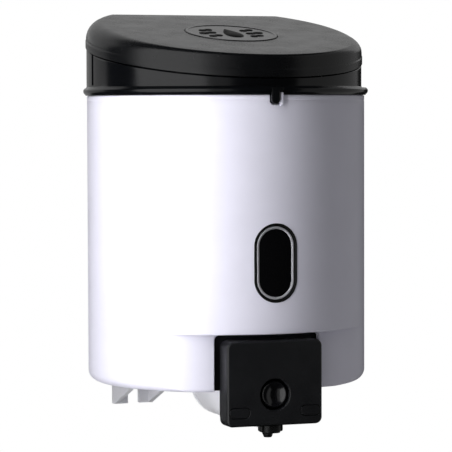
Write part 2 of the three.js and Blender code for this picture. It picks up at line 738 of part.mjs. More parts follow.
function piston() {
  const profile = [
    [STEM_R + GAP, PISTON_FRONT],
    [8.9, PISTON_FRONT],
    [8.9, PISTON_FRONT + 2.4],
    [7.4, PISTON_FRONT + 2.4],
    [7.4, PISTON_FRONT + 5.4],
    [8.9, PISTON_FRONT + 5.4],
    [8.9, PISTON_BACK],
    [STEM_R + GAP, PISTON_BACK],
    [STEM_R + GAP, PISTON_FRONT],
  ];
  return turned(profile);
}

// A ring of rectangular section on the pump's axis.
function sealRing(inner, outer, front, back) {
  return rodY(outer, front, back, 0, PUMP_Z, 28)
    .subtract(rodY(inner, front - OVER, back + OVER, 0, PUMP_Z, 28));
}

// Spout under the cover: an oblong foot that takes the duct, and the tapered outlet.
function nozzle() {
  const sole = COVER_BOTTOM - 3.6;
  const tip = COVER_BOTTOM - 6;
  const foot = slabZ(roundedRect(0, -104.4, 10.4, 12, 4), sole, COVER_BOTTOM - GAP);
  const cone = new THREE.CylinderGeometry(2.6, 1.9, sole + 0.4 - tip, 24);
  cone.rotateX(Math.PI / 2);
  cone.translate(0, SPOUT_TIP_Y, (sole + 0.4 + tip) / 2);
  return foot
    .add(solid(cone))
    .subtract(box(-1.6, 1.6, -104.6, -100, COVER_BOTTOM - 2.4, COVER_BOTTOM))
    .subtract(rodZ(1, tip - OVER, COVER_BOTTOM - 2, 0, SPOUT_TIP_Y, 16));
}

// ---------------------------------------------------------------- assembly

const group = new THREE.Group();
group.add(
  piece('wall_bracket', wallBracket(), white),
  piece('body_shell', bodyShell(), white),
  piece('sight_window', sightWindow(), smoked),
  piece('window_gasket', windowGasket(), rubber),
  piece('reservoir', reservoir(), translucent),
  piece('tank_gasket', tankGasket(), rubber),
  piece('inlet_valve', inletValve(), silicone),
  piece('collar', collar(), black),
  piece('lid', lid(), black),
  piece('lid_badge', badgeDisc(BADGE_R, -0.6, 0.3), black),
  piece('hinge_pin', hingePin(), steel),
  piece('lid_latch', lidLatch(), black),
  piece('latch_spring', coil(1.6, 0.3, -104.5, -98.3, 4, LATCH_X, RIM_Z + 3), steel),
  piece('pump_chassis', pumpChassis(), blackMatte),
  piece('pump_cover', pumpCover(), blackMatte),
  piece('pump_barrel', pumpBarrel(), whitePump),
  piece('barrel_cap', barrelCap(), whitePump),
  piece('push_button', pushButton(), blackGloss),
  piece('piston', piston(), whitePump),
  piece('piston_seal', sealRing(7.7, 9, PISTON_FRONT + 2.8, PISTON_FRONT + 5), rubber),
  piece('stem_seal', sealRing(STEM_R + GAP, 5.1, -94.6, -92.8), rubber),
  piece('return_spring', coil(6, 0.6, PISTON_BACK + GAP, BARREL_BACK - 2.8, 6, 0, PUMP_Z), steel),
  piece('nozzle', nozzle(), blackMatte),
);
[['left', -1], ['right', 1]].forEach(([name, side]) => group.add(
  piece(`screw_plug_${name}`, screwPlug(side), blackMatte),
  piece(`cover_screw_${name}`, coverScrew(side), steel),
  piece(`chassis_screw_${name}`, chassisScrew(side), steel),
));

export default group;
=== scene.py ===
import json
import math

import bmesh
import bpy
import numpy as np
from mathutils import Matrix, Vector


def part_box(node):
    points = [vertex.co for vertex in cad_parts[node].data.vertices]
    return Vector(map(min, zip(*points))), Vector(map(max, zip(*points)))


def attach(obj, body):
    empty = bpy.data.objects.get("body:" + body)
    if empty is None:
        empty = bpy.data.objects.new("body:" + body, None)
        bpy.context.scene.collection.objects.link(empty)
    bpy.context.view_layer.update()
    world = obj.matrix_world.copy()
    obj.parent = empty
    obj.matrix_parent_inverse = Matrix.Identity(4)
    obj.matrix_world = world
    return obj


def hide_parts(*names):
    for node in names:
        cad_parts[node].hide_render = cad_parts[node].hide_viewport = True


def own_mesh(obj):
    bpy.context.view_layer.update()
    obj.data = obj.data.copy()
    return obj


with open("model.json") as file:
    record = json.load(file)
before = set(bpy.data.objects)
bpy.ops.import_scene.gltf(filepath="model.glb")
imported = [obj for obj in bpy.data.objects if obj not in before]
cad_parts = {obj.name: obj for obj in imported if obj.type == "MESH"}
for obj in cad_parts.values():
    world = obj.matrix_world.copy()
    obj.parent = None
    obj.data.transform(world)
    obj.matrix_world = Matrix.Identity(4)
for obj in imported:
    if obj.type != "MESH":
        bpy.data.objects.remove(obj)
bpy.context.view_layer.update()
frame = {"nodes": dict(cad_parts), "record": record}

# Wall mounted soap dispenser. Shapes are in millimetres in the row frame (back of the wall
# plate at Y = 0, +Z up, -Y towards the user) and become metres when a mesh is made.

MM = 0.001
RECORD = frame["record"]
SLOT_OF = {part["node"]: part["material_slot"] for part in RECORD["subparts"]}
BODY_OF = {
    node: body for body, nodes in RECORD["behaviour"]["bodies"].items() for node in nodes
}


def box_mm(node):
    low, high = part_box(node)
    return np.round(np.array(low) / MM, 1), np.round(np.array(high) / MM, 1)


# ------------------------------------------------------------------ sizes from the frame

body_low, body_high = box_mm("body_shell")
tank_low, tank_high = box_mm("reservoir")
lid_high = box_mm("lid")[1]
badge_low, badge_high = box_mm("lid_badge")
cover_low, cover_high = box_mm("pump_cover")
plate_low, plate_high = box_mm("pump_chassis")
button_low, button_high = box_mm("push_button")
barrel_low, barrel_high = box_mm("pump_barrel")
cap_low, cap_high = box_mm("barrel_cap")
window_low, window_high = box_mm("sight_window")
pin_low, pin_high = box_mm("hinge_pin")
plug_low, plug_high = box_mm("screw_plug_right")
bracket_low, bracket_high = box_mm("wall_bracket")
nozzle_low, nozzle_high = box_mm("nozzle")
latch_low, latch_high = box_mm("lid_latch")

# White housing
BODY_R = round(body_high[0], 0)
AXIS_Y = tank_low[1] + tank_high[0]
BODY_BACK = body_high[1]
FRONT_Y = AXIS_Y - BODY_R
FLOOR_Z = body_low[2]
RIM_Z = tank_high[2] + 1.4
BODY_WALL = 2.6
BODY_ROUND = 4.8
STEP_Z = RIM_Z - 103.75
RECESS_ANGLE = math.radians(56)
RECESS_R = 37.3
RECESS_Y = AXIS_Y - (BODY_R - RECESS_R) * math.cos(RECESS_ANGLE) - RECESS_R
OPENING_HALF = 24.2

# Wall bracket and tank
HOOK_X = 20
SCREW_X = 29.4
SPOUT_Y = -60

# Collar and lid
CAP_BACK = lid_high[1]
COLLAR_Y = AXIS_Y + 2.09
COLLAR_R = 62.56
LID_R = 62.96
SEAM = 17.75
SEAM_SLOPE = 0.1775
TOP = 29.68
TOP_SLOPE = 0.205
LID_SKIN = 2.5
RING_R = 64.83
THROAT_R = 57
HINGE_Y = (pin_low[1] + pin_high[1]) / 2
HINGE_Z = (pin_low[2] + pin_high[2]) / 2
HINGE_R = 8
HINGE_BORE_R = 1.8
EAR_INNER, EAR_OUTER = 22, 30
NOTCH_LEFT, NOTCH_RIGHT = -2.75, 3.6

# Window and pump
WINDOW_Z = (window_low[2] + window_high[2]) / 2
WINDOW_WIDTH, WINDOW_HEIGHT = 19.5, 34
PUMP_Z = (button_low[2] + button_high[2]) / 2
BUTTON_R = (button_high[0] - button_low[0]) / 2
BUTTON_HOLE_R = BUTTON_R + 1.1
PLATE_FRONT, PLATE_BACK = -98.8, plate_high[1] - 3.7
CHASSIS_SCREW_X, CHASSIS_SCREW_Z = 25, -53
PLUG_X = (plug_low[0] + plug_high[0]) / 2
PLUG_Z = (plug_low[2] + plug_high[2]) / 2


def seam_z(y, height=SEAM):
    return RIM_Z + height + SEAM_SLOPE * (y - AXIS_Y)


def top_z(y):
    return RIM_Z + TOP + TOP_SLOPE * (y - AXIS_Y)


# ------------------------------------------------------------------ outlines and profiles

class Plan:
    """Seen from above: a circle with its back cut off flat between two rounded corners."""

    ARC, TURN, FLAT = 264, 7, 24

    def __init__(self, radius, centre, back, corner=2.5):
        self.radius, self.centre, self.back, self.corner = radius, centre, back, corner
        self.columns = self.ARC + 1 + self.TURN + self.FLAT - 1 + self.TURN

    def ring(self, grow=0.0):
        """Its points, anticlockwise from the left rear, moved out by grow, one value or many."""
        grow = np.broadcast_to(np.asarray(grow, float), (self.columns,))
        radius, back = self.radius + grow, self.back + grow
        corner = np.maximum(self.corner + grow, 0.1)
        corner_y = back - corner
        corner_x = np.sqrt((radius - corner) ** 2 - (corner_y - self.centre) ** 2)
        tangent = np.arctan2(corner_y - self.centre, corner_x)
        split = np.cumsum([self.ARC + 1, self.TURN, self.FLAT - 1])
        arc, right, flat, left = np.split(np.arange(self.columns), split)
        points = np.zeros((self.columns, 2))
        turn = np.pi - tangent[arc] + (np.pi + 2 * tangent[arc]) * np.linspace(0, 1, len(arc))
        points[arc, 0] = radius[arc] * np.cos(turn)
        points[arc, 1] = self.centre + radius[arc] * np.sin(turn)
        share = np.arange(1, self.TURN + 1) / self.TURN
        turn = tangent[right] + (np.pi / 2 - tangent[right]) * share
        points[right, 0] = corner_x[right] + corner[right] * np.cos(turn)
        points[right, 1] = corner_y[right] + corner[right] * np.sin(turn)
        share = np.arange(1, self.FLAT) / self.FLAT
        points[flat, 0] = corner_x[flat] * (1 - 2 * share)
        points[flat, 1] = back[flat]
        share = np.arange(self.TURN) / self.TURN
        turn = np.pi / 2 + (np.pi / 2 - tangent[left]) * share
        points[left, 0] = -corner_x[left] + corner[left] * np.cos(turn)
        points[left, 1] = corner_y[left] + corner[left] * np.sin(turn)
        return points


class Slab:
    """A rounded rectangle."""

    def __init__(self, width, height, radius, centre=(0, 0), turn=8):
        self.half = np.array([width, height]) / 2
        self.radius, self.centre, self.turn = radius, np.array(centre, float), turn

    def ring(self, grow=0.0):
        radius = max(self.radius + grow, 0.05)
        reach = self.half + grow - radius
        points = []
        for corner, sign in enumerate([(1, 1), (-1, 1), (-1, -1), (1, -1)]):
            for turn in (corner + np.linspace(0, 1, self.turn + 1)) * np.pi / 2:
                arc = radius * np.array([math.cos(turn), math.sin(turn)])
                points.append(self.centre + reach * sign + arc)
        return np.array(points)


class Circle:
    """A circle whose radius is all in grow."""

    def __init__(self, centre=(0, 0), columns=72):
        self.centre, self.columns = np.array(centre, float), columns

    def ring(self, grow=0.0):
        turn = np.linspace(0, 2 * np.pi, self.columns, endpoint=False)
        return self.centre + grow * np.column_stack([np.cos(turn), np.sin(turn)])


class Polygon:
    """An outline through given points, with its corners as they are."""

    def __init__(self, points):
        self.points = np.array(points, float)

    def ring(self, grow=0.0):
        return self.points


def path(*corners, steps=5):
    """A line through (u, v) or (u, v, radius) corners, those with a radius rounded."""
    points = []
    for place, corner in enumerate(corners):
        here = np.array(corner[:2], float)
        if len(corner) == 2:
            points.append(here)
            continue
        before = np.array(corners[place - 1][:2], float) - here
        after = np.array(corners[(place + 1) % len(corners)][:2], float) - here
        before, after = before / np.linalg.norm(before), after / np.linalg.norm(after)
        half = math.acos(np.clip(before @ after, -1, 1)) / 2
        middle = (before + after) / np.linalg.norm(before + after)
        centre = here + middle * corner[2] / math.sin(half)
        start = here + before * corner[2] / math.tan(half) - centre
        end = here + after * corner[2] / math.tan(half) - centre
        sweep = math.pi - 2 * half
        for share in np.linspace(0, 1, steps + 1):
            mix = math.sin((1 - share) * sweep) * start + math.sin(share * sweep) * end
            points.append(centre + mix / math.sin(sweep))
    return np.array(points)


# ------------------------------------------------------------------ meshes

def mesh_piece(name, points, faces):
    """An object from points in millimetres, with its faces turned outwards."""
    mesh = bpy.data.meshes.new(name)
    mesh.from_pydata((points * MM).tolist(), [], faces)
    piece = bpy.data.objects.new(name, mesh)
    bpy.context.scene.collection.objects.link(piece)
    cells = bmesh.new()
    cells.from_mesh(mesh)
    bmesh.ops.recalc_face_normals(cells, faces=cells.faces)
    cells.to_mesh(mesh)
    cells.free()
    return piece


def loft(name, rings, closed=False):
    """A solid through rings with the same number of points; closed joins the last to the first."""
    rings = np.array(rings, float)
    count, columns = rings.shape[:2]
    index = np.arange(count * columns).reshape(count, columns)
    faces = []
    for row in range(count if closed else count - 1):
        low, high = index[row], index[(row + 1) % count]
        next_low, next_high = np.roll(low, -1), np.roll(high, -1)
        faces += np.column_stack([low, next_low, next_high, high]).tolist()
    if not closed:
        faces += [index[0][::-1].tolist(), index[-1].tolist()]
    return mesh_piece(name, rings.reshape(-1, 3), faces)


AXES = {"x": (2, 0, 1), "y": (0, 2, 1), "z": (0, 1, 2)}


def stack(name, outline, profile, axis="z", closed=False):
    """An outline at each (grow, place) of a profile along an axis. Along x the outline is in
    YZ, along y in XZ, along z in XY."""
    rings = []
    for grow, place in profile:
        flat = outline.ring(grow)
        ring = np.column_stack([flat, np.full(len(flat), place)])
        rings.append(ring[:, AXES[axis]])
    return loft(name, rings, closed)


def wrapped(name, outline, profile, closed=False):
    """The same on the housing's round wall: the outline is bent round it, place is a radius."""
    rings = []
    for grow, radius in profile:
        across, up = outline.ring(grow).T
        turn = across / BODY_R
        rings.append(np.column_stack([
            radius * np.sin(turn), AXIS_Y - radius * np.cos(turn), WINDOW_Z + up,
        ]))
    return loft(name, rings, closed)


def block(name, low, high):
    """A plain box: the cutter of the collar's slits, and the middle of the latch's slide."""
    middle, size = np.add(low, high) / 2, np.subtract(high, low)
    slab = Slab(size[0], size[1], 0.05, middle[:2], turn=1)
    return stack(name, slab, [(0, low[2]), (0, high[2])])


def bake(piece):
    graph = bpy.context.evaluated_depsgraph_get()
    mesh = bpy.data.meshes.new_from_object(piece.evaluated_get(graph))
    old = piece.data
    piece.modifiers.clear()
    piece.data = mesh
    bpy.data.meshes.remove(old)
    return piece


def combine(piece, tools, operation):
    for tool in tools:
        change = piece.modifiers.new("combine", "BOOLEAN")
        change.operation, change.solver, change.object = operation, "EXACT", tool
    bpy.context.view_layer.update()
    bake(piece)
    for tool in tools:
        bpy.data.objects.remove(tool)
    return piece


def cut(piece, *tools):
    return combine(piece, tools, "DIFFERENCE")


def join(piece, *tools):
    return combine(piece, tools, "UNION")


def bevel(piece, width, segments, angle=35):
    change = piece.modifiers.new("bevel", "BEVEL")
    change.width, change.segments = width * MM, segments
    change.limit_method, change.angle_limit = "ANGLE", math.radians(angle)
    bpy.context.view_layer.update()
    return bake(piece)


def smooth(piece, angle=32):
    piece.data.shade_smooth()
    piece.data.set_sharp_from_angle(angle=math.radians(angle))
    return piece


def coil(name, radius, wire, start, end, turns, x, z, flat_ends=0.75):
    """A compression spring along Y, closed at both ends."""
    steps, sides = int(turns * 28), 10
    share = np.linspace(0, 1, steps + 1)
    turn = 2 * np.pi * turns * share
    ends = flat_ends / turns
    rise = np.clip((share - ends) / (1 - 2 * ends), 0, 1)
    along = start + wire + (end - start - 2 * wire) * (0.06 * share + 0.94 * rise)
    centres = np.column_stack([x + radius * np.cos(turn), along, z + radius * np.sin(turn)])
    tangents = np.gradient(centres, axis=0)
    tangents /= np.linalg.norm(tangents, axis=1)[:, None]
    outward = np.column_stack([np.cos(turn), np.zeros_like(turn), np.sin(turn)])
    across = np.cross(tangents, outward)
    around = np.linspace(0, 2 * np.pi, sides, endpoint=False)
    rings = [
        centre + wire * (np.outer(np.cos(around), out) + np.outer(np.sin(around), side))
        for centre, out, side in zip(centres, outward, across)
    ]
    return loft(name, rings)


# ------------------------------------------------------------------ materials

def plastic(name, color, roughness, grain=0.5, bump=0.1, mottle=0.06, coat=0.0,
            transmission=0.0, metallic=0.0, wave=0.0, specular=0.5):
    """A moulded surface: fine grain as bump, uneven gloss, slightly mottled colour, and with
    wave a faint unevenness of the whole wall. Grain is its feature size in millimetres."""
    material = bpy.data.materials.new(name)
    material.use_nodes = True
    nodes, links = material.node_tree.nodes, material.node_tree.links
    shader = nodes["Principled BSDF"]
    shader.inputs["Metallic"].default_value = metallic
    shader.inputs["Coat Weight"].default_value = coat
    shader.inputs["Coat Roughness"].default_value = 0.06
    shader.inputs["Transmission Weight"].default_value = transmission
    shader.inputs["Specular IOR Level"].default_value = specular
    place = nodes.new("ShaderNodeTexCoord").outputs["Object"]

    def noise(size, detail):
        node = nodes.new("ShaderNodeTexNoise")
        node.inputs["Scale"].default_value = 1 / (size * MM)
        node.inputs["Detail"].default_value = detail
        links.new(place, node.inputs["Vector"])
        return node.outputs["Fac"]

    def between(value, low, high):
        node = nodes.new("ShaderNodeMapRange")
        node.inputs["From Min"].default_value = 0.3
        node.inputs["From Max"].default_value = 0.7
        node.inputs["To Min"].default_value = low
        node.inputs["To Max"].default_value = high
        links.new(value, node.inputs["Value"])
        return node.outputs["Result"]

    tint = nodes.new("ShaderNodeMix")
    tint.data_type = "RGBA"
    tint.inputs["A"].default_value = (*[c * (1 - mottle) for c in color], 1)
    tint.inputs["B"].default_value = (*[min(c * (1 + mottle), 1) for c in color], 1)
    links.new(between(noise(14, 4), 0, 1), tint.inputs["Factor"])
    links.new(tint.outputs["Result"], shader.inputs["Base Color"])
    gloss = between(noise(9, 5), roughness * 0.85, roughness * 1.15)
    links.new(gloss, shader.inputs["Roughness"])
    fine = nodes.new("ShaderNodeBump")
    fine.inputs["Strength"].default_value = bump
    fine.inputs["Distance"].default_value = 0.2 * MM
    links.new(noise(grain, 3), fine.inputs["Height"])
    if wave:
        broad = nodes.new("ShaderNodeBump")
        broad.inputs["Strength"].default_value = wave
        broad.inputs["Distance"].default_value = 1 * MM
        links.new(noise(30, 1), broad.inputs["Height"])
        links.new(broad.outputs["Normal"], fine.inputs["Normal"])
    links.new(fine.outputs["Normal"], shader.inputs["Normal"])
    return material


MATERIALS = {
    "housing_white": plastic("housing white", (0.79, 0.78, 0.9), 0.34, 0.8, 0.015, 0.015, wave=0.02),
    "bracket_white": plastic("bracket white", (0.66, 0.66, 0.70), 0.45, 0.6, 0.1, 0.03),
    "window_smoked": plastic("window smoked", (0.002, 0.002, 0.0025), 0.06, 2, 0.01, 0.1, coat=0.4),
    # Pale grey painted highlight: stands for the shine along the window lens's bevelled edge.
    "window_edge": plastic("window edge painted highlight", (0.34, 0.34, 0.37), 0.2, 1, 0.02, 0.05, coat=0.5),
    "badge_black": plastic("badge black", (0.007, 0.0075, 0.0085), 0.2, 0.45, 0.06, 0.12),
    "collar_black": plastic("collar black", (0.002, 0.0023, 0.003), 0.17, 0.6, 0.06, 0.12),
    "badge_print": plastic("badge print", (0.002, 0.002, 0.002), 0.6, 0.5, 0.1, 0.1, specular=0.2),
    "tank_translucent": plastic(
        "tank translucent", (0.80, 0.82, 0.82), 0.35, 1.2, 0.08, 0.03, transmission=0.2),
    "silicone": plastic("silicone", (0.62, 0.62, 0.6), 0.5, 0.8, 0.1, 0.05),
    "rubber_black": plastic("rubber black", (0.004, 0.004, 0.004), 0.6, 0.5, 0.2, 0.15,
                            specular=0.2),
    "lid_black": plastic("lid black", (0.003, 0.0033, 0.0039), 0.25, 0.6, 0.3, 0.12),
    "pump_black": plastic("pump black", (0.007, 0.0075, 0.009), 0.42, 0.7, 0.8, 0.15),
    "button_black": plastic("button black", (0.003, 0.003, 0.004), 0.2, 1.5, 0.02, 0.1, coat=0.5),
    "nozzle_black": plastic("nozzle black", (0.006, 0.0062, 0.0066), 0.4, 0.6, 0.12, 0.12,
                            specular=0.3),
    "pump_white": plastic("pump white", (0.90, 0.90, 0.94), 0.35, 0.7, 0.06, 0.02),
    "steel": plastic("steel", (0.62, 0.63, 0.64), 0.25, 0.4, 0.05, 0.06, metallic=1.0),
}


def dress(piece, node, angle=32, material=None):
    """Shading, material, body and slot of the CAD node the piece belongs to."""
    smooth(piece, angle)
    piece.data.materials.clear()
    piece.data.materials.append(MATERIALS[material or SLOT_OF[node]])
    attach(piece, BODY_OF[node])
    return piece


def finish(piece, node, angle=32, material=None):
    """The piece also stands for that node, which is then hidden."""
    dress(piece, node, angle, material)
    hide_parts(node)
    return piece


# ------------------------------------------------------------------ housing

def recess_depth(plan):
    """How far the flattened front lies inside the round wall, for each column."""
    x, y = plan.ring().T
    turn = np.abs(np.arctan2(x, AXIS_Y - y))
    reach = BODY_R - RECESS_R
    flat_r = (reach * math.cos(RECESS_ANGLE) + RECESS_R) / np.maximum(np.cos(turn), 0.1)
    off = RECESS_ANGLE - turn
    side = np.maximum(RECESS_R ** 2 - (reach * np.sin(off)) ** 2, 0)
    side_r = reach * np.cos(off) + np.sqrt(side)
    on_flat = flat_r * np.sin(turn) < reach * math.sin(RECESS_ANGLE)
    floor_r = np.where(on_flat, flat_r, side_r)
    return np.where(turn < RECESS_ANGLE, np.maximum(BODY_R - floor_r, 0), 0)


def housing_wall():
    plan = Plan(BODY_R, AXIS_Y, BODY_BACK, 3)
    depth = recess_depth(plan)
    rings = []

    def ring(inset, z):
        rings.append(np.column_stack([plan.ring(-inset), np.full(plan.columns, z)]))

    quarter = np.radians(np.linspace(0, 90, 10))
    lip = 1.3
    for turn in quarter:
        height = BODY_ROUND * (1 - math.cos(turn))
        short = max(lip - height, 0)
        lip_inset = lip - math.sqrt(lip ** 2 - short ** 2)
        ring(np.maximum(BODY_ROUND * (1 - math.sin(turn)), depth + lip_inset), FLOOR_Z + height)
    inner, outer, ledge = 1.1, 0.9, 0.12
    deepest = depth.max()
    for turn in quarter[::2]:
        share = 1 - inner / deepest * (1 - math.cos(turn))
        ring(depth * share, STEP_Z - inner + inner * math.sin(turn))
    for turn in quarter[::2]:
        share = outer / deepest * (1 - math.sin(turn))
        ring(depth * share, STEP_Z + ledge + outer * (1 - math.cos(turn)))
    groove = RIM_Z - 2.3
    for z in np.linspace(STEP_Z + 4, groove - 2, 12):
        ring(0, z)
    rim = path((0, groove - 0.3), (0.14, groove, 0.1), (0, groove + 0.3), (0, RIM_Z, 0.5),
               (BODY_WALL, RIM_Z, 0.4), (BODY_WALL, RIM_Z - 4), steps=4)
    for inset, z in rim:
        ring(inset, z)
    ring(BODY_WALL, STEP_Z + BODY_WALL + 0.2)
    ring(BODY_WALL + depth, STEP_Z + BODY_WALL)
    ring(BODY_WALL + depth, FLOOR_Z + 9)
    for inset, rise in ((BODY_WALL + 1.6, 4.4), (BODY_WALL + 5, BODY_WALL)):
        ring(np.maximum(inset, depth + BODY_WALL), FLOOR_Z + rise)
    return loft("housing_wall", rings)


def window_outline():
    return Slab(WINDOW_WIDTH, WINDOW_HEIGHT, WINDOW_WIDTH / 2, turn=24)


def body_shell():
    wall = housing_wall()
    top = STEP_Z - 0.5
    low = FLOOR_Z - 8
    opening = Slab(2 * OPENING_HALF, top - low, 2.2, (0, (top + low) / 2))
    edge = path((0.6, RECESS_Y - 8), (0.6, RECESS_Y, 0.4), (0, RECESS_Y + 0.6, 0.4),
                (0, FRONT_Y + 25))
    underside = Slab(34, 50, 6, (0, -65))
    under_edge = path((0.7, FLOOR_Z - 3), (0.7, FLOOR_Z, 0.4), (0, FLOOR_Z + 0.7, 0.4),
                      (0, FLOOR_Z + 5))
    window_edge = [(0.12, BODY_R + 3), (0.12, BODY_R - 0.02), (0, BODY_R - 0.12), (0, BODY_R - 6)]
    notch = Slab(NOTCH_RIGHT - NOTCH_LEFT, 9, 1.6, ((NOTCH_LEFT + NOTCH_RIGHT) / 2, RIM_Z + 0.2))
    tools = [
        stack("opening", opening, edge, "y"),
        stack("underside", underside, under_edge, "z"),
        wrapped("window", window_outline(), window_edge),
        stack("notch", notch, [(0.25, FRONT_Y - 3), (0.25, FRONT_Y - 0.1), (0, FRONT_Y + 0.3),
                               (0, FRONT_Y + 5)], "y"),
    ]
    for side in (-1, 1):
        hook = Slab(11.2, 17.4, 1, (side * HOOK_X, 36.3), turn=3)
        tools.append(stack("hook", hook, [(0, -8), (0, 0)], "y"))
    cut(wall, *tools)
    rib = Slab(1.5, 5.9, 0.6, (2.6, RIM_Z - 1.85), turn=5)
    web = Slab(2.75, 5.1, 0.3, (3.2, RIM_Z - 2.9), turn=3)
    front = [(-0.45, FRONT_Y - 1), (-0.12, FRONT_Y - 0.85), (0, FRONT_Y - 0.5), (0, FRONT_Y + 2.3)]
    behind = [(0, FRONT_Y + 0.6), (0, FRONT_Y + 2.1)]
    join(wall, stack("rib", rib, front, "y"), stack("web", web, behind, "y"))
    return finish(wall, "body_shell", 28)


def sight_window():
    """A smoked lens, and the bead that frames it, pale grey as a painted highlight on its edge."""
    rim = path((-1.1, BODY_R - 4.4), (-1.1, BODY_R - 0.8, 0.3), (-2.2, BODY_R - 0.7, 0.3),
               (-5, BODY_R - 0.6), (-9, BODY_R - 0.55), steps=4)
    finish(wrapped("sight_window_lens", window_outline(), rim), "sight_window", 60)
    # The bead's pale grey is a painted highlight for the lens's bevelled edge.
    bead = path((-1.15, BODY_R - 1), (-1.15, BODY_R - 0.3, 0.28), (-1.55, BODY_R - 0.05, 0.3),
                (-2.15, BODY_R - 0.5, 0.4), (-2.35, BODY_R - 1), steps=4)
    edge = wrapped("sight_window_highlight_bead", window_outline(), bead, True)
    dress(edge, "sight_window", 60, "window_edge")


def window_gasket():
    """A black lip that covers the edge of the opening in the housing."""
    section = path((-1.2, BODY_R - 3), (-0.02, BODY_R - 3), (-0.02, BODY_R - 0.1),
                   (0.22, BODY_R + 0.04), (0.2, BODY_R + 0.14, 0.1), (-0.3, BODY_R + 0.2, 0.3),
                   (-0.95, BODY_R - 0.5, 0.4), (-1.2, BODY_R - 1), steps=3)
    lip = wrapped("window_gasket_lip", window_outline(), section, True)
    return finish(lip, "window_gasket", 40)


def wall_bracket():
    foot_z, plate_top = bracket_low[2], bracket_high[2]
    half = bracket_high[0]
    thick, inner, neck = 3, 20.1, FLOOR_Z + 3
    outline = Polygon([
        (-half, foot_z), (-inner, foot_z), (-inner, neck), (inner, neck), (inner, foot_z),
        (half, foot_z), (half, plate_top), (-half, plate_top),
    ])
    plate = stack("wall_bracket_plate", outline, [(0, -thick), (0, 0)], "y")
    under = FLOOR_Z - 0.4
    gusset = Polygon([
        (-thick + 0.5, foot_z), (-thick, foot_z), (-26, FLOOR_Z - 6.5), (-26, under),
        (-thick + 0.5, under),
    ])
    hook = Polygon([
        (-thick + 0.5, 28), (-9.2, 28), (-9.2, 38), (-6.5, 38), (-6.5, 31), (-thick + 0.5, 31),
    ])
    parts, holes = [], []
    for side in (-1, 1):
        for place in (half - 1.1, inner + 1.1):
            parts.append(stack("gusset", gusset,
                               [(0, side * place - 1.1), (0, side * place + 1.1)], "x"))
        parts.append(stack("hook", hook, [(0, side * HOOK_X - 5), (0, side * HOOK_X + 5)], "x"))
        through = [(0, -thick - 1), (0, 1)]
        foot_slot = Slab(5.7, 22, 2.85, (side * SCREW_X, foot_z))
        keyhole = Slab(4.6, 13, 2.3, (side * SCREW_X, 38))
        holes.append(stack("foot_slot", foot_slot, through, "y"))
        holes.append(stack("keyhole", keyhole, through, "y"))
        holes.append(stack("keyhole_eye", Circle((side * SCREW_X, 33), 40),
                           [(4.6, -thick - 1), (4.6, 1)], "y"))
    join(plate, *parts)
    cut(plate, *holes)
    bevel(plate, 0.35, 2)
    return finish(plate, "wall_bracket", 40)


# ------------------------------------------------------------------ tank

def reservoir():
    radius, back = tank_high[0], tank_high[1]
    base, wall = -38, 1.8
    plan = Plan(radius, AXIS_Y, back, 6)
    profile = path((-6, base), (0, base, 5), (0, tank_high[2], 0.5), (-wall, tank_high[2], 0.5),
                   (-wall, base + wall, 4), (-7, base + wall), steps=6)
    tank = stack("reservoir_tank", plan, profile)
    spout_low = tank_low[2]
    spout = stack("spout", Circle((0, SPOUT_Y)),
                  path((5.2, spout_low), (5.6, spout_low + 0.5), (5.6, base + 1)))
    join(tank, spout)
    cut(tank, stack("outlet", Circle((0, SPOUT_Y)), [(3.8, spout_low - 2), (3.8, base + 4)]))
    return finish(tank, "reservoir")


# ------------------------------------------------------------------ collar, lid and latch

def sloped_ring(plan, grow, height):
    flat = plan.ring(grow)
    return np.column_stack([flat, seam_z(flat[:, 1], height)])


def level_ring(plan, grow, z):
    return np.column_stack([plan.ring(grow), np.full(plan.columns, z)])


def collar_wall():
    """The ring flange, the sloping wall, the throat inside, and the deeper back."""
    foot = Plan(RING_R, AXIS_Y, CAP_BACK, 3)
    wall = Plan(COLLAR_R, COLLAR_Y, CAP_BACK, 2.5)
    rings = [level_ring(foot, grow, RIM_Z + rise) for grow, rise in path(
        (-6.2, -8), (-4.8, -8, 0.3), (-4.8, 0.12), (-1.3, 0.12, 0.3), (-0.25, 1.3, 1.2),
        (-0.1, 2.5, 0.9), (-0.9, 3.45, 0.6), (-1.5, 3.5), steps=4)]
    rings += [level_ring(wall, grow, RIM_Z + rise) for grow, rise in ((0.35, 3.6), (0.08, 3.9))]
    rings += [level_ring(wall, 0, RIM_Z + 4.4)]
    rings += [sloped_ring(wall, grow, SEAM + rise) for grow, rise in path(
        (0, -1), (0, 0, 0.35), (-2.56, 0, 0.35), (-2.56, -1.5), steps=3)]
    throat = Plan(THROAT_R, AXIS_Y, -13.4, 6)
    rings += [level_ring(wall, -2.56, RIM_Z + 4)]
    rings += [level_ring(throat, grow, RIM_Z + rise) for grow, rise in path(
        (2, 3.5), (0, 3.5, 0.8), (0, -0.6, 0.3), (1.2, -0.6), steps=3)]
    rings += [level_ring(foot, -6.2, RIM_Z - 0.7)]
    piece = loft("collar_wall", rings, True)
    deep = stack("deep_back", Slab(110, 9.1, 1, (0, -5.35), turn=3),
                 [(0, RIM_Z + 1), (0, RIM_Z + 26)])
    keep = stack("keep", Plan(COLLAR_R - 0.4, COLLAR_Y, CAP_BACK - 0.3, 2.5),
                 [(0, RIM_Z), (0, RIM_Z + 24.5)])
    return join(piece, combine(deep, [keep], "INTERSECT"))


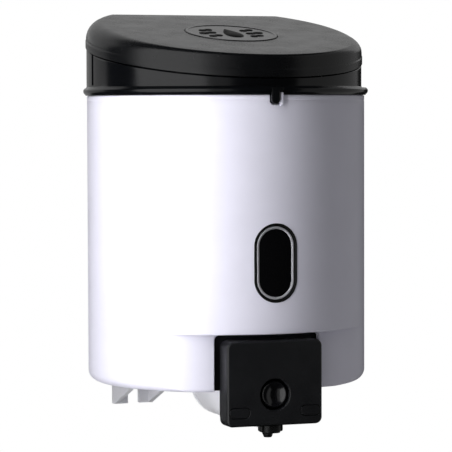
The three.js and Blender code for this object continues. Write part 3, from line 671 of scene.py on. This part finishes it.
def collar_cutters():
    """The trough for the lid's rear edge, the latch's notch, and two slits on the left."""
    trough = stack("trough", Circle((HINGE_Y, HINGE_Z), 96),
                   [(HINGE_R + 0.9, -70), (HINGE_R + 0.9, 70)], "x")
    notch = Slab(NOTCH_RIGHT - NOTCH_LEFT, 12.4, 0.5,
                 ((NOTCH_LEFT + NOTCH_RIGHT) / 2, RIM_Z - 2.9), turn=3)
    tools = [trough, stack("notch", notch, [(0, FRONT_Y - 3), (0, FRONT_Y + 7)], "y")]
    for degrees, top in ((90, 19.2), (105, 12)):
        turn = math.radians(degrees)
        slit = block("slit", (-1.3, -0.9, RIM_Z + 4.6), (1.3, 0.9, RIM_Z + top))
        spin = Matrix.Rotation(-turn, 4, "Z")
        spot = Matrix.Translation(Vector((
            -COLLAR_R * math.sin(turn), COLLAR_Y - COLLAR_R * math.cos(turn), 0)) * MM)
        slit.data.transform(spot @ spin)
        tools.append(slit)
    return tools


def collar_fittings():
    """The ears that hold the hinge pin, the latch spring's rest, and the latch's guides."""
    fittings = []
    for low, high in ((-EAR_OUTER, -EAR_INNER), (EAR_INNER, EAR_OUTER)):
        ends = [(-0.4, low), (0, low + 0.4), (0, high - 0.4), (-0.4, high)]
        eye = [(5.3 + grow, place) for grow, place in ends]
        fittings.append(stack("ear_eye", Circle((HINGE_Y, HINGE_Z), 56), eye, "x"))
        post = Slab(5.2, 12, 0.6, (HINGE_Y, HINGE_Z - 6), turn=3)
        fittings.append(stack("ear_post", post, ends, "x"))
    rest_y, guide_y = -97.2, -102.25
    fittings.append(stack("spring_rest", Slab(16, 1.6, 0.3, (0, rest_y), turn=3),
                          [(0, RIM_Z + 0.2), (0, RIM_Z + 5.7), (-0.3, RIM_Z + 6)]))
    for x in (-7.2, 7.2):
        fittings.append(stack("guide", Slab(1.6, 10.5, 0.3, (x, guide_y), turn=3),
                              [(0, RIM_Z + 0.2), (0, RIM_Z + 2.8), (-0.2, RIM_Z + 3)]))
    return fittings


def collar():
    piece = cut(collar_wall(), *collar_cutters())
    join(piece, *collar_fittings())
    bore = stack("bore", Circle((HINGE_Y, HINGE_Z), 40), [(HINGE_BORE_R, -60), (HINGE_BORE_R, 60)], "x")
    cut(piece, bore)
    return finish(piece, "collar", 30, "collar_black")


def lid_ring(plan, inset, drop, hinge_radius):
    """A ring of the lid at a depth below its sloping top, kept inside the hinge's rounding."""
    flat = plan.ring(-inset)
    z = top_z(flat[:, 1]) - drop
    tangent = HINGE_Y - hinge_radius * math.sin(math.atan(TOP_SLOPE))
    behind = np.clip(flat[:, 1] - HINGE_Y, -hinge_radius, hinge_radius)
    limit = HINGE_Z + np.sqrt(hinge_radius ** 2 - behind ** 2)
    z = np.where(flat[:, 1] > tangent, np.minimum(z, limit), z)
    return np.column_stack([flat, z])


def lid_shell(plan, edge, quarter):
    """The skin from its inside to the seat of the badge; edge is the top edge's rounding."""
    inner_edge = np.maximum(edge - LID_SKIN, 0.8)
    rings = []
    for turn in quarter[::-2]:
        inset = LID_SKIN + inner_edge * (1 - math.cos(turn))
        drop = LID_SKIN + inner_edge * (1 - math.sin(turn))
        rings.append(lid_ring(plan, inset, drop, HINGE_R - LID_SKIN))
    low = SEAM + 0.4
    rings += [sloped_ring(plan, grow, low + rise) for grow, rise in path(
        (-LID_SKIN, 0.8), (-LID_SKIN, 0, 0.3), (0, 0, 0.45), (0, 3.2, 0.5), (-0.24, 3.9, 0.5),
        (-0.24, 4.6), steps=4)]
    bead = 0.24
    low_z = rings[-1][:, 2]
    for turn in quarter:
        ring = lid_ring(plan, bead + (edge - bead) * (1 - math.cos(turn)),
                        edge * (1 - math.sin(turn)), HINGE_R)
        ring[:, 2] = np.maximum(ring[:, 2], low_z + 0.15 + 0.1 * turn)
        rings.append(ring)
    rim = rings[-1]
    centre = np.array([0, (badge_low[1] + badge_high[1]) / 2])
    away = rim[:, :2] - centre
    away /= np.linalg.norm(away, axis=1)[:, None]
    badge_r = badge_high[0] + 0.35
    round_ring = centre + away * badge_r
    for share in (0.25, 0.5, 0.75):
        flat = rim[:, :2] * (1 - share) + round_ring * share
        rings.append(np.column_stack([flat, np.minimum(top_z(flat[:, 1]), lid_high[2])]))
    for radius, drop in path((badge_r + 0.3, 0), (badge_r, 0, 0.25), (badge_r, 0.9, 0.1),
                             (badge_r - 1, 0.9), steps=3):
        flat = centre + away * radius
        rings.append(np.column_stack([flat, top_z(flat[:, 1]) - drop]))
    return loft("lid_shell", rings)


def lid_knuckles(plan, edge, quarter):
    """Pieces of a rod about the hinge, beside the ears, cut off at the lid's outer form."""
    knuckles = []
    for side in (-1, 1):
        for near, far in ((EAR_INNER - 6.3, EAR_INNER - 0.3), (EAR_OUTER + 0.3, plan.radius)):
            ends = sorted((side * near, side * far))
            rod = stack("knuckle", Circle((HINGE_Y, HINGE_Z), 96),
                        [(HINGE_R - 0.1, ends[0]), (HINGE_R - 0.1, ends[1])], "x")
            keep = [level_ring(plan, -0.5, 78)]
            keep += [lid_ring(plan, 0.5 + edge * (1 - math.cos(turn)),
                              0.15 + edge * (1 - math.sin(turn)), HINGE_R - 0.15)
                     for turn in quarter]
            knuckles.append(combine(rod, [loft("keep", keep)], "INTERSECT"))
    return knuckles


def lid():
    plan = Plan(LID_R, COLLAR_Y, CAP_BACK, 2.5)
    y = plan.ring()[:, 1]
    blend = np.clip((y - (COLLAR_Y - LID_R)) / LID_R, 0, 1)
    edge = 1.5 + 6.5 * blend ** 2 * (3 - 2 * blend)
    quarter = np.radians(np.linspace(0, 90, 9))
    piece = lid_shell(plan, edge, quarter)
    catch_y, catch_low, catch_high = -107.7, 67.9, 69.3
    catch = stack("catch", Slab(7, 3, 0.3, (0, catch_y), turn=3), [(0, catch_low), (0, catch_high)])
    join(piece, *lid_knuckles(plan, edge, quarter), catch)
    gaps = []
    for side in (-1, 1):
        middle = side * (EAR_INNER + EAR_OUTER) / 2
        gap = Slab(EAR_OUTER - EAR_INNER + 0.6, 17, 1, (middle, HINGE_Z - 4.1), turn=4)
        gaps.append(stack("ear_gap", gap, [(0, HINGE_Y), (0, 2)], "y"))
    bore = [(HINGE_BORE_R, -36.2), (HINGE_BORE_R, 36.2)]
    gaps.append(stack("bore", Circle((HINGE_Y, HINGE_Z), 40), bore, "x"))
    cut(piece, *gaps)
    return finish(piece, "lid", 30)


def on_lid(piece):
    """Moves a piece built flat at the origin onto the lid's sloping top, at the badge."""
    y = (badge_low[1] + badge_high[1]) / 2
    tilt = Matrix.Rotation(math.atan(TOP_SLOPE), 4, "X")
    piece.data.transform(Matrix.Translation(Vector((0, y, top_z(y))) * MM) @ tilt)
    return piece


class Drop:
    """A plain droplet outline: a round foot drawn up to a point."""

    def __init__(self, radius, height, centre):
        self.radius, self.height, self.centre = radius, height, np.array(centre, float)

    def ring(self, grow=0.0):
        turn = np.linspace(0, 2 * np.pi, 64, endpoint=False)
        radius = self.radius + grow
        up = (1 - np.cos(turn)) / 2
        x = radius * np.sin(turn) * (1 - up) ** 0.55
        y = -radius + (self.height + 2 * grow) * up
        return self.centre + np.column_stack([-x, y])


def lid_badge():
    radius = badge_high[0]
    profile = path((radius - 0.4, -0.6), (radius, -0.3), (radius, 0.3, 0.25),
                   (radius - 1.1, 0.3, 0.15), (radius - 1.3, 0.05, 0.15), (radius - 3, 0.05),
                   steps=3)
    disc = stack("lid_badge_disc", Circle(columns=160), profile)
    return finish(on_lid(disc), "lid_badge", 30, "badge_black")


def badge_mark():
    """A generic mark in low relief: a droplet between two rows of wave bars."""
    relief = [(0, -0.1), (0, 0.2), (-0.3, 0.35)]
    marks = [stack("badge_mark", Drop(5.2, 20, (0, -5.2)), relief)]
    for side in (-1, 1):
        for row, (reach, width) in enumerate(((9.8, 6.4), (11.2, 8), (9.8, 6.4))):
            for half in (-1, 1):
                place = (side * reach + half * width / 4, 7.2 * (1 - row) + 0.8 * half)
                marks.append(stack("bar", Slab(width * 0.58, 3.2, 1.5, place, turn=6), relief))
    join(marks[0], *marks[1:])
    return dress(on_lid(marks[0]), "lid_badge", 40, "badge_print")


def hinge_pin():
    half, radius = pin_high[0], (pin_high[2] - pin_low[2]) / 2
    ends = path((radius - 0.6, -half), (radius, -half, 0.4), (radius, half, 0.4),
                (radius - 0.6, half), steps=3)
    return finish(stack("hinge_pin_rod", Circle((HINGE_Y, HINGE_Z), 40), ends, "x"), "hinge_pin")


def lid_latch():
    left, right = latch_low[0], latch_high[0]
    stem_right = left + 3.9
    middle = (left + stem_right) / 2
    front = latch_low[1]
    edge = [(0, front + 2.8), (0, front + 0.4), (-0.12, front + 0.12), (-0.4, front)]
    stem = Slab(stem_right - left, 7, 1.9, (middle, RIM_Z - 0.4))
    tab = stack("lid_latch_slide", stem, edge, "y")
    head = Slab(right - left, 1.9, 0.35, ((left + right) / 2, RIM_Z + 2.3), turn=4)
    slide = block("slide", (left + 0.05, front + 2.2, RIM_Z + 0.4),
                  (stem_right - 0.05, front + 9.6, RIM_Z + 2.6))
    back, foot, top = latch_high[1], RIM_Z + 0.5, latch_high[2]
    hook = Polygon([
        (back - 2.5, foot), (back, foot), (back, top), (back - 1.1, top), (back - 1.1, RIM_Z + 7),
        (back - 2.5, RIM_Z + 6.2),
    ])
    rod = stack("hook", hook, [(0, left + 0.1), (0, stem_right - 0.1)], "x")
    join(tab, stack("head", head, edge, "y"), slide, rod)
    return finish(tab, "lid_latch", 30)


# ------------------------------------------------------------------ pump

def pump_chassis():
    """The plate behind the opening: it carries the button's guide in front, the duct down to
    the nozzle, and the spigot that the barrel is pushed on."""
    front, back = PLATE_FRONT, PLATE_BACK
    edge = path((-0.4, front), (0, front + 0.4), (0, back), (-0.5, back), steps=2)
    plates = [
        stack("plate", Slab(58, 26, 2, (0, CHASSIS_SCREW_Z)), edge, "y"),
        stack("plate", Slab(2 * OPENING_HALF - 0.8, 20, 1, (0, FLOOR_Z + 10.3)), edge, "y"),
        stack("plate", Slab(40.4, 27.2, 4, (0, plate_low[2] + 13.6)), edge, "y"),
    ]
    hub = Circle((0, PUMP_Z))
    spigot_end, duct_end = plate_high[1], plate_low[1]
    plates.append(stack("guide", hub, [
        (4.6, front - 2.8), (5, front - 2.4), (5, front + 0.5)], "y"))
    plates.append(stack("spigot", hub, [
        (11.4, back - 0.5), (11.4, spigot_end - 0.4), (11, spigot_end)], "y"))
    plates.append(stack("duct", Slab(7, 13, 2, (0, -77)), [
        (0, front + 0.5), (0, duct_end)], "y"))
    piece = join(plates[0], *plates[1:])
    piece.name = "pump_chassis_plate"
    tools = [
        stack("well", Slab(20, 13.2, 0.3, (0, PUMP_Z), turn=3),
              [(0, duct_end - 0.6), (0, front - 3.2)], "y"),
        stack("stem_hole", hub, [(2.8, front - 3.7), (2.8, spigot_end + 0.6)], "y"),
        stack("seal_seat", hub, [(5.4, spigot_end - 2.4), (5.4, spigot_end + 0.6)], "y"),
        stack("channel", Circle((0, -101), 32), [(1.6, -84), (1.6, -71)]),
    ]
    for side in (-1, 1):
        for x, z, radius in ((CHASSIS_SCREW_X, CHASSIS_SCREW_Z, 2), (PLUG_X, PLUG_Z, 1.5)):
            tools.append(stack("hole", Circle((side * x, z), 32),
                               [(radius, front - 1.2), (radius, back + 1.3)], "y"))
    return finish(cut(piece, *tools), "pump_chassis", 30)


def pump_cover():
    """A hollow cap, narrower behind a step, with an eased front edge."""
    width, height = cover_high[0] - cover_low[0], cover_high[2] - cover_low[2]
    middle = (cover_high[2] + cover_low[2]) / 2
    front, back, wall, step = cover_low[1], cover_high[1], 2.4, -102
    outline = Slab(width, height, 3, (0, middle), turn=10)
    profile = path((-wall, step), (-0.3, step), (0, step - 0.3), (0, front + 1.6, 0.7),
                   (-0.22, front + 0.55, 0.5), (-0.8, front, 0.35), (-4, front), steps=5)
    piece = stack("pump_cover_block", outline, profile, "y")
    rear = Slab(width - 4, height, 3, (0, middle), turn=10)
    join(piece, stack("rear", rear, [(0, step - 1), (0, back)], "y"))
    inside = path((-wall, back + 2), (-wall, front + wall, 1), (-5, front + wall), steps=4)
    cut(piece, stack("hollow", rear, inside, "y"))
    sleeve = stack("sleeve", Circle((0, PUMP_Z)), [
        (BUTTON_HOLE_R + 1.4, front + 1.5), (BUTTON_HOLE_R + 1.4, -106)], "y")
    join(piece, sleeve)
    bore = path((BUTTON_HOLE_R + 0.35, front - 2), (BUTTON_HOLE_R + 0.35, front, 0.2),
                (BUTTON_HOLE_R, front + 0.4, 0.3), (BUTTON_HOLE_R, -104), steps=3)
    tools = [
        stack("bore", Circle((0, PUMP_Z), 96), bore, "y"),
        stack("duct_gap", Slab(7.6, 30, 0.5, (0, -92.4), turn=3),
              [(0, -105.7), (0, back + 1)], "y"),
    ]
    for side in (-1, 1):
        seat = Slab(9.7, 4.8, 2.4, (side * PLUG_X, PLUG_Z), turn=12)
        tools.append(stack("plug_seat", seat, [
            (0.15, front - 1), (0.15, front - 0.02), (0, front + 0.15), (0, front + 1.8)], "y"))
    cut(piece, *tools)
    return finish(piece, "pump_cover", 30)


def screw_plug(name, side):
    """An oblong cap, almost flush, in a thin groove."""
    front = cover_low[1]
    outline = Slab(9.2, 4.3, 2.15, (side * PLUG_X, PLUG_Z), turn=12)
    profile = path((0, front + 1.5), (0, front + 0.02, 0.15), (-1, front + 0.02), (-2, front + 0.02),
                   steps=3)
    return finish(stack(f"{name}_cap", outline, profile, "y"), name)


def push_button():
    """Its face is a shallow dish inside a rounded rim; the stem carries the piston."""
    face, dish_r = button_low[1], BUTTON_R - 0.9
    dish = [(r, face + 0.35 + 2.1 * (1 - (r / dish_r) ** 2)) for r in np.linspace(0.25, dish_r, 12)]
    profile = np.vstack([
        dish,
        path((dish_r, face + 0.3), (BUTTON_R - 0.5, face - 0.02, 0.35),
             (BUTTON_R, face + 0.5, 0.35), (BUTTON_R, face + 2.6), (2.5, face + 2.6, 0.4),
             (2.5, button_high[1]), (1.1, button_high[1]), (1.1, -100)),
    ])
    return finish(stack("push_button_face", Circle((0, PUMP_Z), 96), profile, "y"),
                  "push_button", 40)


def pump_barrel():
    outer, front, back = barrel_high[0], barrel_low[1], barrel_high[1]
    bore, wall = 9.2, 1.8
    profile = path((bore, front + 4), (11.7, front + 4, 0.2), (11.7, front, 0.3),
                   (outer, front, 1.2), (outer, back - 0.5), (outer - 0.2, back),
                   (outer - wall, back), (outer - wall, front + 7), (bore + wall, front + 7),
                   (bore + wall, back), (bore, back), steps=5)
    tube = stack("pump_barrel_tube", Circle((0, PUMP_Z), 96), profile, "y", True)
    spot = Circle((0, SPOUT_Y), 72)
    top = barrel_high[2]
    neck = stack("neck", spot, path((10, PUMP_Z + 10), (10, top, 0.4), (8.6, top), steps=3))
    join(tube, neck)
    cut(tube,
        stack("bore", Circle((0, PUMP_Z), 72), [(bore, front + 4.2), (bore, back - 0.2)], "y"),
        stack("neck_bore", spot, [(8.2, PUMP_Z + 13), (8.2, top + 1)]),
        stack("port", spot, [(4, PUMP_Z + 6), (4, PUMP_Z + 14)]))
    return finish(tube, "pump_barrel")


def barrel_cap():
    outer, front, back = cap_high[0], cap_low[1], cap_high[1]
    flange = back - 3.7
    profile = path((2, front), (8.9, front, 0.3), (8.9, flange), (outer, flange, 0.3),
                   (outer, back - 0.2, 1.2), (outer - 3, back, 0.4), (outer - 3.6, back - 0.8, 0.4),
                   (3, back - 0.8), steps=4)
    cap = stack("barrel_cap_end", Circle((0, PUMP_Z), 96), profile, "y")
    slot = Slab(2, 16, 0.9, (0, PUMP_Z), turn=5)
    cut(cap, stack("slot", slot, [(0, back - 2), (0, back + 1)], "y"))
    return finish(cap, "barrel_cap")


def nozzle():
    """An oblong foot between two lugs, and a short tapered outlet below its rear half."""
    middle_y = (nozzle_low[1] + nozzle_high[1]) / 2
    top, tip = nozzle_high[2], nozzle_low[2]
    sole, tip_y = top - 3.3, -102.2
    foot = Slab(8.2, 10.6, 3, (0, middle_y), turn=8)
    body = stack("nozzle_spout", foot, path(
        (-1.2, sole), (-0.2, sole, 0.5), (0, sole + 1.4, 0.5), (0, top), (-1, top), steps=3))
    lugs = [
        stack("lug", Slab(2.4, 4.6, 0.8, (side * 4, middle_y - 1), turn=5),
              path((-0.4, top - 2.7), (0, top - 2.3), (0, top - 0.2, 0.2), (-0.4, top), steps=3))
        for side in (-1, 1)
    ]
    outlet = stack("outlet", Circle((0, tip_y), 48), path(
        (1.0, tip), (1.7, tip, 0.25), (2.5, tip + 1.9, 0.6), (2.6, sole + 0.6), steps=3))
    join(body, *lugs, outlet)
    cut(body, stack("channel", Circle((0, tip_y), 32), [(1, tip - 1), (0.9, top - 2)]))
    return finish(body, "nozzle", 35)


def springs():
    """Both springs, one row each: node, radius, wire radius, turns, joint."""
    coils = (
        ("latch_spring", 1.6, 0.3, 5, "latch_slide"),
        ("return_spring", 6.0, 0.6, 6.5, "button_press"),
    )
    for node, radius, wire, count, joint in coils:
        low, high = box_mm(node)
        spring = coil(f"{node}_coil", radius, wire, low[1], high[1], count,
                      (low[0] + high[0]) / 2, (low[2] + high[2]) / 2)
        finish(spring, node, 60)
        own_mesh(spring)


# ------------------------------------------------------------------ CAD nodes kept

def keep_nodes():
    """The inner pieces keep their CAD shape and get the material of their slot."""
    for name, node in frame["nodes"].items():
        if not node.hide_render:
            node.data.materials.clear()
            node.data.materials.append(MATERIALS[SLOT_OF[name]])
            smooth(node, 30)


# ------------------------------------------------------------------ camera, light, floor

CAMERA_YAW = math.radians(20.16)
CAMERA_PITCH = math.radians(2.77)
CAMERA_ROLL = math.radians(-0.18)
CAMERA_DISTANCE = 1.09613
CAMERA_TARGET = Vector((0.00001, AXIS_Y * MM, 0.00057))
CAMERA_LENS, CAMERA_SENSOR = 191.25, 36


def camera():
    level = math.cos(CAMERA_PITCH)
    ahead = Vector((math.sin(CAMERA_YAW) * level, math.cos(CAMERA_YAW) * level,
                    -math.sin(CAMERA_PITCH)))
    right = Vector((math.cos(CAMERA_YAW), -math.sin(CAMERA_YAW), 0))
    up = right.cross(ahead)
    turned_right = right * math.cos(CAMERA_ROLL) + up * math.sin(CAMERA_ROLL)
    turned_up = up * math.cos(CAMERA_ROLL) - right * math.sin(CAMERA_ROLL)
    data = bpy.data.cameras.new("camera")
    data.lens, data.sensor_width = CAMERA_LENS, CAMERA_SENSOR
    data.clip_start, data.clip_end = 0.05, 20
    view = bpy.data.objects.new("camera", data)
    matrix = Matrix((turned_right, turned_up, -ahead)).transposed().to_4x4()
    matrix.translation = CAMERA_TARGET - ahead * CAMERA_DISTANCE
    view.matrix_world = matrix
    bpy.context.scene.collection.objects.link(view)
    bpy.context.scene.camera = view


def lamp(name, azimuth, elevation, distance, size, radiance, seen="both", rise=0.0):
    """A soft box aimed at the object, seen by diffuse surfaces, in reflections, or both.
    Azimuth 0 is the user's side, positive to the left."""
    azimuth, elevation = math.radians(azimuth), math.radians(elevation)
    target = Vector((0, AXIS_Y * MM, 0))
    away = Vector((-math.sin(azimuth) * math.cos(elevation),
                   -math.cos(azimuth) * math.cos(elevation), math.sin(elevation)))
    data = bpy.data.lights.new(name, "AREA")
    data.shape, data.size, data.size_y = "RECTANGLE", size[0], size[1]
    data.energy = radiance * math.pi * size[0] * size[1]
    light = bpy.data.objects.new(name, data)
    light.location = target + away * distance + Vector((0, 0, rise))
    light.rotation_euler = (-away).to_track_quat("-Z", "Y").to_euler()
    light.visible_camera = False
    light.visible_diffuse = seen != "reflections"
    light.visible_glossy = seen != "diffuse"
    bpy.context.scene.collection.objects.link(light)


def surroundings():
    """White behind the object, almost black in reflections, and for the shading a dim light
    from all round that is stronger from above."""
    world = bpy.data.worlds.new("studio")
    bpy.context.scene.world = world
    world.use_nodes = True
    nodes, links = world.node_tree.nodes, world.node_tree.links
    ray = nodes.new("ShaderNodeLightPath")
    sky = {}
    for name in ("fill", "dark", "white"):
        sky[name] = nodes.new("ShaderNodeBackground")
        sky[name].inputs["Color"].default_value = (1, 1, 1, 1)
    sky["dark"].inputs["Strength"].default_value = 0.01
    sky["white"].inputs["Strength"].default_value = 1.0
    direction = nodes.new("ShaderNodeSeparateXYZ")
    links.new(nodes.new("ShaderNodeTexCoord").outputs["Generated"], direction.inputs["Vector"])
    height = nodes.new("ShaderNodeMapRange")
    height.inputs["From Min"].default_value = -0.7
    height.inputs["From Max"].default_value = 0.7
    height.inputs["To Min"].default_value = 0.05
    height.inputs["To Max"].default_value = 0.3
    links.new(direction.outputs["Z"], height.inputs["Value"])
    links.new(height.outputs["Result"], sky["fill"].inputs["Strength"])
    glossy, camera_ray = nodes.new("ShaderNodeMixShader"), nodes.new("ShaderNodeMixShader")
    links.new(ray.outputs["Is Glossy Ray"], glossy.inputs["Fac"])
    links.new(sky["fill"].outputs["Background"], glossy.inputs[1])
    links.new(sky["dark"].outputs["Background"], glossy.inputs[2])
    links.new(ray.outputs["Is Camera Ray"], camera_ray.inputs["Fac"])
    links.new(glossy.outputs["Shader"], camera_ray.inputs[1])
    links.new(sky["white"].outputs["Background"], camera_ray.inputs[2])
    links.new(camera_ray.outputs["Shader"], nodes["World Output"].inputs["Surface"])
    bpy.context.scene.view_settings.view_transform = "Standard"


def lamps():
    """A tall strip close by on the left gives the shading, a low panel lights the barrel and
    the feet, and wide panels give the reflections."""
    lamp("key strip", 52, 0, 0.2, (0.06, 1.0), 7.4, "diffuse", rise=0.36)
    lamp("low left panel", 112, -50, 0.5, (0.3, 0.3), 2.3, "diffuse")
    lamp("left panel", 65, 0, 1.2, (1.45, 2.6), 1.2, "reflections")
    lamp("left panel edge", 24, 0, 1.2, (0.4, 2.6), 0.3, "reflections")
    lamp("right panel", -85, 0, 1.2, (2.2, 2.6), 0.25, "reflections")
    lamp("left rear panel", 172, 0, 1.2, (2, 0.6), 0.3, "reflections")
    lamp("backdrop", 185, 32, 1.2, (3, 0.9), 0.47)


def floor():
    """A pale disc well below the object, left out of reflections."""
    radius, top, thick = 700, -500, 10
    disc = stack("floor", Circle((0, AXIS_Y), 128), [(radius, top - thick), (radius, top)])
    paint = bpy.data.materials.new("floor")
    paint.use_nodes = True
    shader = paint.node_tree.nodes["Principled BSDF"]
    shader.inputs["Base Color"].default_value = (0.9, 0.9, 0.9, 1)
    shader.inputs["Roughness"].default_value = 0.9
    disc.data.materials.append(paint)
    disc.visible_glossy = False


# ------------------------------------------------------------------ assembly

camera()
surroundings()
lamps()
floor()
body_shell()
sight_window()
window_gasket()
wall_bracket()
reservoir()
collar()
lid()
lid_badge()
badge_mark()
hinge_pin()
lid_latch()
pump_chassis()
pump_cover()
screw_plug("screw_plug_left", -1)
screw_plug("screw_plug_right", 1)
push_button()
pump_barrel()
barrel_cap()
nozzle()
springs()
keep_nodes()
